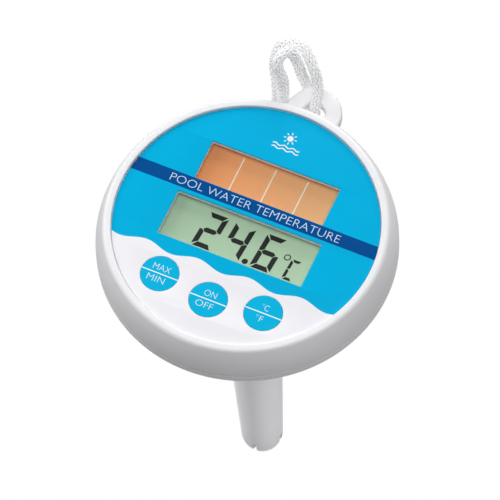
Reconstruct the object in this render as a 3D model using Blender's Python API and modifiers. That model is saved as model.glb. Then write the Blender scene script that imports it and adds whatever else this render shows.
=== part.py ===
"""Floating solar pool thermometer: a round float with a long sensor probe under it.

Units are metres. +Z points up out of the printed face and +Y points at the cord lug.
The origin is the small flat at the tip of the probe, on the axis of the float.
Depths are measured down from the printed face, so a depth d is at z = FACE_Z - d.
"""

import math

import bmesh
import bpy
from mathutils import Matrix, Vector

MM = 0.001
GAP = 0.3 * MM  # room left between pieces that rest on each other

# Driving dimensions of the float
ROUND = 56  # sides of the large turned pieces
FACE_Z = 173.0 * MM
FACE_R = 48.15 * MM
RIM_R = 54.25 * MM
CROWN = 1.1 * MM  # height of the rim above the printed face
SEAM = 12.4 * MM  # depth of the joint between the two shells
DECK_TOP = 0.8 * MM
DECK_UNDER = 3.3 * MM
SKIRT_INNER_R = 52.1 * MM
LEDGE_R = 48.6 * MM
LEDGE = 6.3 * MM
UPSTAND_R = 51.8 * MM
UPSTAND_INNER_R = 50.2 * MM
UPSTAND_TOP = 8.5 * MM
UNDERSIDE = 25.0 * MM
FLOOR_WALL = 2.6 * MM

# Windows in the face, as centre and size across the face
SOLAR_CENTRE = (0.0, 18.6 * MM)
SOLAR_SIZE = (50.0 * MM, 16.2 * MM)
DISPLAY_CENTRE = (0.0, -5.75 * MM)
DISPLAY_SIZE = (56.0 * MM, 18.5 * MM)
LENS_LIP = 1.5 * MM  # how far a lens reaches under the deck on each side
LENS_TOP = 2.3 * MM
WINDOW_CORNER = 0.5 * MM

# Circuit board and what stands on it
BOARD_R = 40.5 * MM
BOARD_TOP = 8.9 * MM
BOARD_UNDER = 10.5 * MM
BOARD_SCREWS = [(34.8 * MM, -14.0 * MM), (-34.8 * MM, -14.0 * MM)]
BOARD_SCREWS += [(33.0 * MM, 17.5 * MM), (-33.0 * MM, 17.5 * MM)]
BOARD_BOSS_R = 2.5 * MM

# Buttons: name and place across the face
BUTTONS = {
    "max_min": (-20.1 * MM, -29.8 * MM),
    "on_off": (0.0, -32.5 * MM),
    "unit": (20.1 * MM, -29.8 * MM),
}
BUTTON_R = 6.9 * MM
BUTTON_FLANGE_R = 8.3 * MM
BUTTON_HOLE_R = BUTTON_R + GAP
PLUNGER_R = 1.6 * MM

# Case screws stand on a circle, one every 60 degrees
CASE_SCREW_CIRCLE = 44.5 * MM
CASE_SCREW_ANGLES = [30, 90, 150, 210, 270, 330]
CASE_BOSS_R = 3.4 * MM
HEAD_SEAT = 16.8 * MM  # depth of the shoulder that each case screw pulls on
COUNTERBORE_R = 2.5 * MM

# Probe
NECK_R = 9.0 * MM
NECK_TOP = 18.5 * MM
COLLAR_R = 15.0 * MM
COLLAR_END = 31.0 * MM
PROBE_TOP_R = 11.66 * MM
PROBE_TOP = 35.0 * MM
DOME_R = 7.9 * MM
DOME_HEIGHT = 10.0 * MM
TIP_FLAT_R = 1.5 * MM
SLOT_WIDTH = 2.3 * MM
SLOT_HEIGHT = 11.8 * MM
SLOT_FROM_AXIS = 2.6 * MM

# Cord lug, a rounded tab on the lower shell
LUG_CENTRE = Vector((0.0, 58.0 * MM, 0.0))
LUG_R = 10.4 * MM
LUG_HOLE_R = 4.2 * MM
LUG_TOP = 13.0 * MM
LUG_THICK = 4.5 * MM
LUG_ROOT_Y = 51.5 * MM

# Cord: from the knot it arches over to the lug, wraps its outer bar and arches back, in mm as
# (x, y, depth below the printed face)
CORD_R = 2.1 * MM
KNOT_R = 4.9 * MM
KNOT = (-14.8, 62.3, 26.0)
CORD_RISE = [(-16.6, 62.8, 24.0), (-16.9, 63.5, 16.1), (-17.0, 63.5, 8.1), (-18.1, 65.4, 0.4)]
CORD_OUTER_ARCH = [(-16.9, 69.7, -6.1), (-9.7, 70.8, -8.2), (-3.0, 65.9, -4.3), (-0.2, 63.0, 2.7)]
CORD_WRAP = [(-0.1, 60.2, 10.5), (-0.6, 59.8, 18.6), (-4.2, 65.7, 21.7), (-8.1, 69.4, 16.2)]
CORD_INNER_ARCH = [(-8.9, 68.1, 8.2), (-9.9, 67.5, 0.1), (-11.3, 66.7, -6.8)]
CORD_INNER_ARCH += [(-13.0, 65.5, -9.9), (-14.5, 62.0, -10.2), (-14.2, 59.8, -7.3)]
CORD_FALL = [(-12.2, 59.1, -0.7), (-12.1, 59.3, 7.6), (-13.0, 60.2, 15.8), (-12.6, 61.6, 24.0)]

# The cord swings about the middle of the bar it wraps, seen from the hole in this direction
BAR_FROM_HOLE = (LUG_HOLE_R + LUG_R) / 2
BAR_ANGLE = math.radians(123)

PALETTE = {
    "case_white": ((0.86, 0.86, 0.87), 0.34, 0.0),
    "face_print": ((0.0, 0.42, 0.80), 0.28, 0.0),
    "window_clear": ((0.90, 0.93, 0.92), 0.08, 0.0),
    "button_blue": ((0.0, 0.42, 0.80), 0.32, 0.0),
    "display_glass": ((0.36, 0.52, 0.34), 0.18, 0.0),
    "solar_copper": ((0.68, 0.31, 0.15), 0.22, 0.0),
    "frame_black": ((0.03, 0.03, 0.03), 0.5, 0.0),
    "silicone_grey": ((0.35, 0.36, 0.38), 0.6, 0.0),
    "seal_black": ((0.02, 0.02, 0.02), 0.65, 0.0),
    "foam": ((0.10, 0.10, 0.11), 0.9, 0.0),
    "board_green": ((0.02, 0.22, 0.09), 0.4, 0.0),
    "metal": ((0.70, 0.70, 0.72), 0.28, 1.0),
    "epoxy_black": ((0.015, 0.015, 0.015), 0.35, 0.0),
    "wire_red": ((0.60, 0.03, 0.02), 0.45, 0.0),
    "wire_black": ((0.02, 0.02, 0.02), 0.45, 0.0),
    "plug_white": ((0.80, 0.80, 0.80), 0.5, 0.0),
    "cord_white": ((0.88, 0.88, 0.87), 0.85, 0.0),
}


# Modelling helpers


def clear_scene():
    for old in list(bpy.data.objects):
        bpy.data.objects.remove(old, do_unlink=True)


def new_collection(name):
    collection = bpy.data.collections.new(name)
    bpy.context.scene.collection.children.link(collection)
    return collection


clear_scene()
PARTS = new_collection("pool_thermometer")
CUTTERS = new_collection("cutters")
FRAME = bpy.data.objects.new("thermometer_frame", None)
PARTS.objects.link(FRAME)


def material(slot):
    """The named material, made on first use."""
    found = bpy.data.materials.get(slot)
    if found:
        return found
    colour, roughness, metallic = PALETTE[slot]
    made = bpy.data.materials.new(slot)
    made.use_nodes = True
    shader = made.node_tree.nodes["Principled BSDF"]
    shader.inputs["Base Color"].default_value = (*colour, 1.0)
    shader.inputs["Roughness"].default_value = roughness
    shader.inputs["Metallic"].default_value = metallic
    made.diffuse_color = (*colour, 1.0)
    return made


def place(name, mesh, slot, location=(0, 0, 0)):
    """An object for a mesh: a part with its material, or a cutter when slot is None."""
    piece = bpy.data.objects.new(name, mesh)
    piece.location = location
    if slot is None:
        CUTTERS.objects.link(piece)
        piece.hide_render = True
        piece.display_type = "WIRE"
    else:
        PARTS.objects.link(piece)
        piece.parent = FRAME
        mesh.materials.append(material(slot))
    return piece


def bmesh_piece(name, bm, slot, location=(0, 0, 0)):
    mesh = bpy.data.meshes.new(name)
    bm.to_mesh(mesh)
    bm.free()
    return place(name, mesh, slot, location)


def at(x, y, depth=0.0):
    return (x, y, FACE_Z - depth)


def arc(centre, radii, start, end, count):
    """Points (radius, depth) on an arc. Angles in degrees, 0 is outward and 90 is up."""
    points = []
    for i in range(count + 1):
        angle = math.radians(start + (end - start) * i / count)
        across, up = radii[0] * math.cos(angle), radii[1] * math.sin(angle)
        points.append((centre[0] + across, centre[1] - up))
    return points


def turned(name, profile, steps, slot, location=None, ring=False):
    """A turned piece from (radius, depth) points down its outer side; ring closes the outline."""
    mesh = bpy.data.meshes.new(name)
    verts = [(radius, 0.0, -depth) for radius, depth in profile]
    edges = [(i, i + 1) for i in range(len(verts) - 1)]
    if ring:
        edges.append((len(verts) - 1, 0))
    mesh.from_pydata(verts, edges, [])
    piece = place(name, mesh, slot, location or at(0, 0))
    screw = piece.modifiers.new("turn", "SCREW")
    screw.axis = "Z"
    screw.angle = math.tau
    screw.steps = steps
    screw.render_steps = steps
    screw.use_merge_vertices = True
    screw.merge_threshold = 0.00001
    screw.use_smooth_shade = True
    return piece


def cylinder(name, radius, top, bottom, centre, slot, sides=24):
    """An upright cylinder between two depths."""
    bm = bmesh.new()
    bmesh.ops.create_cone(
        bm, cap_ends=True, segments=sides, radius1=radius, radius2=radius, depth=bottom - top
    )
    return bmesh_piece(name, bm, slot, at(*centre, (top + bottom) / 2))


def box(name, size, top, centre, slot, bevel=0.0):
    """A box of the given size (x, y, height) whose upper side is at a depth."""
    bm = bmesh.new()
    bmesh.ops.create_cube(bm, size=1.0, matrix=Matrix.Diagonal((*size, 1.0)))
    piece = bmesh_piece(name, bm, slot, at(*centre, top + size[2] / 2))
    if bevel:
        rounding = piece.modifiers.new("edges", "BEVEL")
        rounding.width = bevel
        rounding.segments = 2
    return piece


def rounded_rectangle(centre, size, radius, per_corner=3):
    """Corner-rounded rectangle as points across the face."""
    half_x, half_y = size[0] / 2 - radius, size[1] / 2 - radius
    points = []
    for corner, (side_x, side_y) in enumerate(((1, 1), (-1, 1), (-1, -1), (1, -1))):
        for i in range(per_corner + 1):
            angle = math.radians(90 * corner + 90 * i / per_corner)
            x = centre[0] + side_x * half_x + radius * math.cos(angle)
            y = centre[1] + side_y * half_y + radius * math.sin(angle)
            points.append((x, y))
    return points


def circle(centre, radius, count):
    angles = [math.tau * i / count for i in range(count)]
    return [(centre[0] + radius * math.cos(a), centre[1] + radius * math.sin(a)) for a in angles]


def as_mesh(curve_object, slot):
    """Turn a curve object into a mesh object with welded caps, in the same place."""
    bpy.context.view_layer.update()
    evaluated = curve_object.evaluated_get(bpy.context.evaluated_depsgraph_get())
    mesh = bpy.data.meshes.new_from_object(evaluated)
    bm = bmesh.new()
    bm.from_mesh(mesh)
    bmesh.ops.remove_doubles(bm, verts=bm.verts, dist=0.000001)
    bmesh.ops.recalc_face_normals(bm, faces=bm.faces)
    bm.to_mesh(mesh)
    bm.free()
    mesh.materials.clear()
    name, matrix = curve_object.name, curve_object.matrix_world.copy()
    bpy.data.objects.remove(curve_object)
    piece = place(name, mesh, slot)
    piece.name = name
    piece.matrix_world = matrix
    return piece


def plate(name, outlines, top, thickness, slot):
    """A flat plate from closed outlines across the face: the outer one first, then its holes."""
    curve = bpy.data.curves.new(name, "CURVE")
    curve.dimensions = "2D"
    curve.fill_mode = "BOTH"
    curve.extrude = thickness / 2
    for outline in outlines:
        spline = curve.splines.new("POLY")
        spline.points.add(len(outline) - 1)
        for point, (x, y) in zip(spline.points, outline):
            point.co = (x, y, 0, 1)
        spline.use_cyclic_u = True
    flat = bpy.data.objects.new(name, curve)
    flat.location = at(0, 0, top + thickness / 2)
    PARTS.objects.link(flat)
    return as_mesh(flat, slot)


def wire(name, points, radius, slot, origin=(0, 0, 0)):
    """A round wire through points, with flat ends. Points are in world space."""
    curve = bpy.data.curves.new(name, "CURVE")
    curve.dimensions = "3D"
    curve.bevel_depth = radius
    curve.bevel_resolution = 2
    curve.use_fill_caps = True
    spline = curve.splines.new("POLY")
    spline.points.add(len(points) - 1)
    for node, point in zip(spline.points, points):
        node.co = (*(Vector(point) - Vector(origin)), 1)
    strand = bpy.data.objects.new(name, curve)
    strand.location = origin
    PARTS.objects.link(strand)
    return as_mesh(strand, slot)


def smooth_path(points, per_span):
    """Points on a Catmull-Rom curve through the given points."""
    points = [Vector(p) for p in points]
    padded = [2 * points[0] - points[1], *points, 2 * points[-1] - points[-2]]
    path = []
    for a, b, c, d in zip(padded, padded[1:], padded[2:], padded[3:]):
        for i in range(per_span):
            t = i / per_span
            value = 2 * b + (c - a) * t + (2 * a - 5 * b + 4 * c - d) * t**2
            path.append((value + (3 * b - a - 3 * c + d) * t**3) / 2)
    path.append(points[-1])
    return path


def finished_mesh(piece):
    """A copy of a piece's mesh with its modifiers applied."""
    bpy.context.view_layer.update()
    return bpy.data.meshes.new_from_object(piece.evaluated_get(bpy.context.evaluated_depsgraph_get()))


def cutter_copies(name, pattern, places):
    """One cutter of separate solids: the pattern's shape at each (x, y) place."""
    shape, height = finished_mesh(pattern), pattern.location.z
    bpy.data.objects.remove(pattern)
    bm = bmesh.new()
    for x, y in places:
        moved = shape.copy()
        moved.transform(Matrix.Translation((x, y, height)))
        bm.from_mesh(moved)
    return bmesh_piece(name, bm, None)


def repeated(name, pattern, places):
    """A numbered part at each (x, y) place, all with the pattern's shape."""
    shape, height = finished_mesh(pattern), pattern.location.z
    slot = shape.materials[0].name
    bpy.data.objects.remove(pattern)
    shape.materials.clear()
    for number, (x, y) in enumerate(places, start=1):
        place(f"{name}_{number}", shape.copy(), slot, (x, y, height))


def combine(piece, other, operation):
    change = piece.modifiers.new(operation.lower(), "BOOLEAN")
    change.operation = operation
    change.solver = "EXACT"
    change.object = other


def cut(piece, *cutters):
    for cutter in cutters:
        combine(piece, cutter, "DIFFERENCE")


def join(piece, *others):
    for other in others:
        combine(piece, other, "UNION")


def on_circle(radius, angles):
    return [
        (radius * math.cos(math.radians(a)), radius * math.sin(math.radians(a))) for a in angles
    ]


CASE_SCREWS = on_circle(CASE_SCREW_CIRCLE, CASE_SCREW_ANGLES)


# Shells


def rim_outline():
    """Outer side of the upper shell, from the lip round the face to the seam."""
    lip, shoulder, tilt = 0.5 * MM, 1.9 * MM, 27.0
    crown_end = 49.7 * MM
    points = arc((FACE_R + lip, lip - CROWN), (lip, lip), 180, 90, 1)
    points += arc((crown_end, shoulder - CROWN), (shoulder, shoulder), 90, tilt, 3)
    start_r, start_depth = points[-1]
    bulge = (RIM_R - start_r) / (1 - math.cos(math.radians(tilt)))
    middle = (RIM_R - bulge, start_depth + bulge * math.sin(math.radians(tilt)))
    return points + arc(middle, (bulge, bulge), tilt, 0, 3)[1:]


def upper_case():
    seam = SEAM - GAP / 2
    profile = [(0, DECK_TOP), (FACE_R, DECK_TOP), *rim_outline(), (RIM_R, seam)]
    profile += [(SKIRT_INNER_R, seam), (SKIRT_INNER_R, LEDGE), (LEDGE_R, LEDGE)]
    profile += [(LEDGE_R, DECK_UNDER), (0, DECK_UNDER)]
    shell = turned("upper_case", profile, ROUND, "case_white")

    root = DECK_UNDER - 0.8 * MM
    bosses = cylinder("boss_pattern", 3.2 * MM, root, 11.0 * MM, (0, 0), None, 14)
    join(shell, cutter_copies("upper_bosses", bosses, CASE_SCREWS))
    bosses = cylinder("boss_pattern", BOARD_BOSS_R, root, BOARD_TOP - GAP, (0, 0), None, 12)
    join(shell, cutter_copies("board_bosses", bosses, BOARD_SCREWS))

    windows = {"solar": (SOLAR_CENTRE, SOLAR_SIZE), "display": (DISPLAY_CENTRE, DISPLAY_SIZE)}
    for name, (centre, size) in windows.items():
        above = rounded_rectangle(centre, size, WINDOW_CORNER)
        cut(shell, plate(name + "_opening", [above], DECK_TOP - MM, 4 * MM, None))
        seat = [side + 2 * LENS_LIP + 2 * GAP for side in size]
        below = rounded_rectangle(centre, seat, WINDOW_CORNER)
        cut(shell, plate(name + "_lens_seat", [below], LENS_TOP - GAP, 3 * MM, None))
    holes = cylinder("hole_pattern", BUTTON_HOLE_R, -MM, 5 * MM, (0, 0), None, 28)
    cut(shell, cutter_copies("button_holes", holes, BUTTONS.values()))
    holes = cylinder("hole_pattern", 1.7 * MM, 6.0 * MM, 12.0 * MM, (0, 0), None, 10)
    cut(shell, cutter_copies("case_screw_pilots", holes, CASE_SCREWS))
    holes = cylinder("hole_pattern", 1.3 * MM, 5.2 * MM, 9.5 * MM, (0, 0), None, 8)
    cut(shell, cutter_copies("board_screw_pilots", holes, BOARD_SCREWS))
    return shell


def lug_outline():
    side = LUG_CENTRE.x + LUG_R
    points = [(-side, LUG_ROOT_Y), (side, LUG_ROOT_Y)]
    return points + [p for p in circle(LUG_CENTRE, LUG_R, 28) if p[1] >= LUG_CENTRE.y - MM * MM]


def lug():
    """The tab, with its edges rounded, ready to be joined to the lower shell."""
    outlines = [lug_outline(), circle(LUG_CENTRE, LUG_HOLE_R, 20)]
    tab = plate("lug_tab", outlines, LUG_TOP, LUG_THICK, None)
    rounding = tab.modifiers.new("edges", "BEVEL")
    rounding.width = 1.1 * MM
    rounding.segments = 2
    rounding.limit_method = "ANGLE"
    rounding.angle_limit = math.radians(60)
    return tab


def dish(radius_change, start, end, count):
    """Arc of the bowl-shaped underside; radius_change gives its inner side."""
    turn_in, slope = 3.5 * MM, 62.0
    corner = (RIM_R - turn_in, 14.8 * MM)
    edge = arc(corner, (turn_in, turn_in), 0, -slope, 3)
    edge_r, edge_depth = edge[-1]
    bowl = (UNDERSIDE - edge_depth) / (1 - math.sin(math.radians(slope)))
    flat_from = edge_r - bowl * math.cos(math.radians(slope))
    centre = (flat_from, UNDERSIDE - bowl)
    radius = bowl + radius_change
    return edge, arc(centre, (radius, radius), start, end, count)


def lower_case():
    seam = SEAM + GAP / 2
    edge, bowl = dish(0.0, -62, -90, 4)
    inner = dish(-FLOOR_WALL, -90, -66, 3)[1]
    fillet = arc((COLLAR_R + 1.5 * MM, UNDERSIDE + 1.5 * MM), (1.5 * MM, 1.5 * MM), 90, 180, 2)
    groove_in, groove_out, groove_top = 10.25 * MM, 12.35 * MM, COLLAR_END - 1.8 * MM
    bore = NECK_R + GAP
    profile = [(UPSTAND_R, UPSTAND_TOP), (UPSTAND_R, seam), (RIM_R, seam)]
    profile += [*edge, *bowl[1:], *fillet]
    profile += [(COLLAR_R, COLLAR_END - 0.7 * MM), (COLLAR_R - 0.7 * MM, COLLAR_END)]
    profile += [(groove_out, COLLAR_END), (groove_out, groove_top), (groove_in, groove_top)]
    profile += [(groove_in, COLLAR_END), (bore, COLLAR_END), (bore, UNDERSIDE - FLOOR_WALL)]
    profile += [*inner, (UPSTAND_INNER_R, 15.2 * MM), (UPSTAND_INNER_R, UPSTAND_TOP)]
    shell = turned("lower_case", profile, ROUND, "case_white", ring=True)

    bosses = cylinder("boss_pattern", CASE_BOSS_R, 11.3 * MM, 19.9 * MM, (0, 0), None, 14)
    join(shell, cutter_copies("lower_bosses", bosses, CASE_SCREWS), lug())
    holes = cylinder("hole_pattern", COUNTERBORE_R, HEAD_SEAT, 24 * MM, (0, 0), None, 14)
    cut(shell, cutter_copies("counterbores", holes, CASE_SCREWS))
    holes = cylinder("hole_pattern", 1.7 * MM, 10 * MM, HEAD_SEAT + MM, (0, 0), None, 10)
    cut(shell, cutter_copies("case_screw_holes", holes, CASE_SCREWS))
    return shell


def o_ring(name, radius, section, depth, steps, sides=6, slot="seal_black"):
    """A seal ring: centre line radius, half thickness, and depth of its middle."""
    profile = arc((radius, depth), (section, section), 90, 90 - 360, sides)[:-1]
    return turned(name, profile, steps, slot, ring=True)


def case_fasteners():
    shank, head = 1.4 * MM, 2.2 * MM
    seat = HEAD_SEAT + GAP
    profile = [(0, 6.5 * MM), (shank, 8.0 * MM), (shank, seat), (head, seat)]
    profile += [(head, seat + 1.0 * MM), (0, seat + 1.7 * MM)]
    repeated("case_screw", turned("screw_pattern", profile, 8, "metal"), CASE_SCREWS)
    plug_r, top, bottom = COUNTERBORE_R - 0.15 * MM, seat + 2.0 * MM, 21.0 * MM
    profile = [(0, top), (plug_r, top), (plug_r, bottom), (0, bottom)]
    plug = turned("plug_pattern", profile, 12, "plug_white")
    repeated("screw_plug", plug, CASE_SCREWS)


# Face


def face_film():
    outlines = [circle((0, 0), FACE_R - GAP, ROUND)]
    outlines.append(rounded_rectangle(SOLAR_CENTRE, SOLAR_SIZE, WINDOW_CORNER))
    outlines.append(rounded_rectangle(DISPLAY_CENTRE, DISPLAY_SIZE, WINDOW_CORNER))
    outlines += [circle(centre, BUTTON_HOLE_R, 28) for centre in BUTTONS.values()]
    return plate("face_film", outlines, 0.0, 0.5 * MM, "face_print")


def lens(name, centre, size):
    reach = [side + 2 * LENS_LIP for side in size]
    thickness = DECK_UNDER - LENS_TOP
    return box(name, (*reach, thickness), LENS_TOP, centre, "window_clear")


def button(label, centre):
    """A cap that is flush with the face, with a flange under the deck and a stem over its switch."""
    flange, foot = DECK_UNDER + GAP, 4.5 * MM
    edge, stem_r, stem_end = 0.25 * MM, 2.2 * MM, 5.1 * MM
    profile = [(0, 0), *arc((BUTTON_R - edge, edge), (edge, edge), 90, 0, 1)]
    profile += [(BUTTON_R, flange), (BUTTON_FLANGE_R, flange), (BUTTON_FLANGE_R, foot)]
    profile += [(stem_r, foot), (stem_r, stem_end), (0, stem_end)]
    return turned("button_" + label, profile, 28, "button_blue", at(*centre))


def plunger(label, centre):
    top, bottom = 5.4 * MM, 7.2 * MM
    profile = [(0, top), (PLUNGER_R, top), (PLUNGER_R, bottom), (0, bottom)]
    return turned("plunger_" + label, profile, 12, "epoxy_black", at(*centre))


def boot(label, centre):
    """Silicone sleeve round a switch, between the button's flange and the board."""
    inner, outer, top, bottom = 7.4 * MM, 8.2 * MM, 4.8 * MM, BOARD_TOP - GAP
    profile = [(inner, top), (outer, top), (outer, bottom), (inner, bottom)]
    return turned("boot_" + label, profile, 24, "silicone_grey", at(*centre), ring=True)


def switch_bodies():
    top, bottom = 6.0 * MM, BOARD_TOP - GAP
    body = box("switch_pattern", (6.2 * MM, 6.2 * MM, bottom - top), top, (0, 0), "frame_black")
    cut(body, cylinder("plunger_bore", PLUNGER_R + GAP, top - MM, 8.1 * MM, (0, 0), None, 12))
    repeated("switch_body", body, BUTTONS.values())


# Display and solar cells


def display():
    top, thickness, margin = DECK_UNDER + GAP, 2.0 * MM, 2.0 * MM
    size = [side + 2 * margin for side in DISPLAY_SIZE]
    box("display_panel", (*size, thickness), top, DISPLAY_CENTRE, "display_glass")

    wall, frame_top, frame_foot = 1.5 * MM, 3.9 * MM, BOARD_TOP - GAP
    outer = (size[0] + 2 * wall + 2 * GAP, size[1] + 2 * wall + 2 * GAP)
    pocket = (size[0] + 2 * GAP, size[1] + 2 * GAP, 2.0 * MM + MM)
    outer = (*outer, frame_foot - frame_top)
    holder = box("display_holder", outer, frame_top, DISPLAY_CENTRE, "frame_black")
    cut(holder, box("display_pocket", pocket, top + thickness + GAP - pocket[2], DISPLAY_CENTRE, None))
    well = (size[0] - 4 * MM, size[1] - 4 * MM, 8 * MM)
    cut(holder, box("display_well", well, 3 * MM, DISPLAY_CENTRE, None))

    strip_top = top + thickness + GAP
    strip_y = DISPLAY_CENTRE[1] - well[1] / 2 + 2.2 * MM
    strip = (54 * MM, 2.4 * MM, BOARD_TOP - GAP - strip_top)
    box("display_connector", strip, strip_top, (0, strip_y), "silicone_grey")


def solar():
    top, thickness = DECK_UNDER + GAP, 1.1 * MM
    size = (SOLAR_SIZE[0] + 2.4 * MM, SOLAR_SIZE[1] + 2.4 * MM, thickness)
    box("solar_panel", size, top, SOLAR_CENTRE, "solar_copper")
    pad_top = top + thickness + GAP
    pad = (44 * MM, 14 * MM, BOARD_TOP - GAP - pad_top)
    box("solar_pad", pad, pad_top, SOLAR_CENTRE, "foam")
    y = SOLAR_CENTRE[1] + 3 * MM
    for name, side, slot in (
        ("solar_lead_positive", 1, "wire_red"),
        ("solar_lead_negative", -1, "wire_black"),
    ):
        start_x, end_x = side * 24.2 * MM, side * 28.6 * MM
        corners = [at(start_x, y, pad_top + 0.6 * MM), at(start_x, y, 6.2 * MM)]
        corners += [at(start_x + side * 1.5 * MM, y, 7.2 * MM)]
        corners += [at(end_x - side * 0.6 * MM, y, 7.3 * MM), at(end_x, y, BOARD_TOP - GAP)]
        wire(name, smooth_path(corners, 2), 0.5 * MM, slot)


# Circuit board


def circuit_board():
    board = cylinder("circuit_board", BOARD_R, BOARD_TOP, BOARD_UNDER, (0, 0), "board_green", 48)
    holes = cylinder("hole_pattern", 1.3 * MM, BOARD_TOP - MM, BOARD_UNDER + MM, (0, 0), None, 8)
    cut(board, cutter_copies("board_screw_holes", holes, BOARD_SCREWS))

    seat, head_r, shank_r = BOARD_UNDER + GAP, 2.2 * MM, 1.0 * MM
    profile = [(0, 5.6 * MM), (shank_r, 6.2 * MM), (shank_r, seat), (head_r, seat)]
    profile += [(head_r, seat + 0.9 * MM), (0, seat + 1.5 * MM)]
    repeated("board_screw", turned("screw_pattern", profile, 8, "metal"), BOARD_SCREWS)


def board_parts():
    under = BOARD_UNDER + GAP
    blob = [(0, under), (7 * MM, under), *arc((0, under), (7 * MM, 2.0 * MM), -12, -90, 3)]
    turned("chip_cover", blob, 20, "epoxy_black", at(9 * MM, -5 * MM))
    for name, radius, length, centre, slot in (
        ("timing_crystal", 1.5 * MM, 8 * MM, (23 * MM, -6 * MM), "metal"),
        ("buffer_capacitor", 3.5 * MM, 11 * MM, (-22 * MM, -6 * MM), "epoxy_black"),
    ):
        can = cylinder(name, radius, -length / 2, length / 2, centre, slot, 16)
        can.location = at(*centre, under + radius)
        can.rotation_euler = (math.pi / 2, 0, 0)
        rounding = can.modifiers.new("edges", "BEVEL")
        rounding.width = 0.3 * MM
        rounding.limit_method = "ANGLE"
        rounding.segments = 1
    box("sensor_connector", (6 * MM, 5 * MM, 5 * MM), under, (-8 * MM, -20 * MM), "plug_white", 0.4 * MM)


def storage_cell():
    centre, cell_r, under = (0, 22 * MM), 10 * MM, BOARD_UNDER + GAP
    cup_r, base = cell_r + GAP, under + 0.8 * MM
    lip = under + 4.2 * MM
    wall_r = cup_r + 1.1 * MM
    profile = [(0, under), (wall_r, under), (wall_r, lip), (cup_r, lip), (cup_r, base), (0, base)]
    turned("cell_holder", profile, 28, "frame_black", at(*centre))
    top, bottom, edge = base + GAP, base + GAP + 3.2 * MM, 0.4 * MM
    profile = [(0, top), (cell_r - MM, top), (cell_r - MM, top + edge), (cell_r, top + 2 * edge)]
    profile += [(cell_r, bottom - edge), (cell_r - edge, bottom), (0, bottom)]
    turned("backup_cell", profile, 28, "metal", at(*centre))

    reach, sheet, width = cup_r + 1.8 * MM, 0.5 * MM, 5 * MM
    strap_top = bottom + GAP
    clip = box("cell_clip", (2 * reach, width, sheet), strap_top, centre, "metal")
    for side in (-1, 1):
        leg_x = side * (reach - sheet / 2)
        leg = (sheet, width, strap_top + sheet - under)
        join(clip, box("clip_leg", leg, under, (leg_x, centre[1]), None))


# Probe and sensor


def tube_radius(depth):
    """Outer radius of the tapered tube."""
    dome = dome_centre()
    return PROBE_TOP_R + (DOME_R - PROBE_TOP_R) * (depth - PROBE_TOP) / (dome - PROBE_TOP)


def dome_centre():
    """Depth where the tube's rounded end starts, so that the tip's flat lies at the origin."""
    return FACE_Z - DOME_HEIGHT * math.sin(math.acos(TIP_FLAT_R / DOME_R))


def slot_cutters():
    """Four radial slots with rounded ends, as one cutter mesh."""
    reach = 2 * DOME_R
    middle = SLOT_FROM_AXIS + reach / 2
    straight = SLOT_HEIGHT - SLOT_WIDTH / 2
    cube = Matrix.Translation((middle, 0, (straight - 2 * MM) / 2)) @ Matrix.Diagonal(
        (reach, SLOT_WIDTH, straight + 2 * MM, 1)
    )
    rod = Matrix.Translation((middle, 0, straight)) @ Matrix.Rotation(math.pi / 2, 4, "Y")
    boxes = bmesh.new()
    rods = bmesh.new()
    for quarter in range(4):
        turn = Matrix.Rotation(quarter * math.pi / 2, 4, "Z")
        bmesh.ops.create_cube(boxes, size=1.0, matrix=turn @ cube)
        bmesh.ops.create_cone(
            rods, cap_ends=True, segments=12, radius1=SLOT_WIDTH / 2, radius2=SLOT_WIDTH / 2,
            depth=reach, matrix=turn @ rod,
        )
    return bmesh_piece("slot_boxes", boxes, None), bmesh_piece("slot_ends", rods, None)


def probe_tube():
    flange_top, flange_r, wall = COLLAR_END + GAP, COLLAR_R - 0.6 * MM, 2.0 * MM
    dome = dome_centre()
    cavity_end = dome + DOME_HEIGHT - 2.6 * MM
    inner = arc((0, dome), (DOME_R - wall, cavity_end - dome), -90, 0, 3)
    inner += [(tube_radius(145 * MM) - wall, 145 * MM), (9.2 * MM, 38 * MM), (7.0 * MM, 34 * MM)]
    neck = [(7.0 * MM, NECK_TOP), (NECK_R, NECK_TOP), (NECK_R, flange_top)]
    flange = [(flange_r, flange_top), (flange_r, flange_top + 1.4 * MM)]
    fillet = arc((PROBE_TOP_R + 1.8 * MM, PROBE_TOP + 0.2 * MM), (1.8 * MM, 1.8 * MM), 110, 180, 2)
    tip = math.degrees(math.acos(TIP_FLAT_R / DOME_R))
    end = arc((0, dome), (DOME_R, DOME_HEIGHT), 0, -tip, 6)
    profile = [*inner, *neck, *flange, *fillet, *end, (0, FACE_Z)]
    tube = turned("probe_tube", profile, 36, "case_white")
    cut(tube, *slot_cutters())
    return tube


def probe_fittings():
    nut_foot = UNDERSIDE - FLOOR_WALL - GAP
    nut = cylinder("probe_nut", 14.0 * MM, 19.2 * MM, nut_foot, (0, 0), "plug_white", 6)
    cut(nut, cylinder("nut_bore", NECK_R + GAP, 18 * MM, 24 * MM, (0, 0), None, 32))
    o_ring("probe_seal", 11.3 * MM, 0.75 * MM, COLLAR_END - 0.75 * MM, 32)


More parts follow.
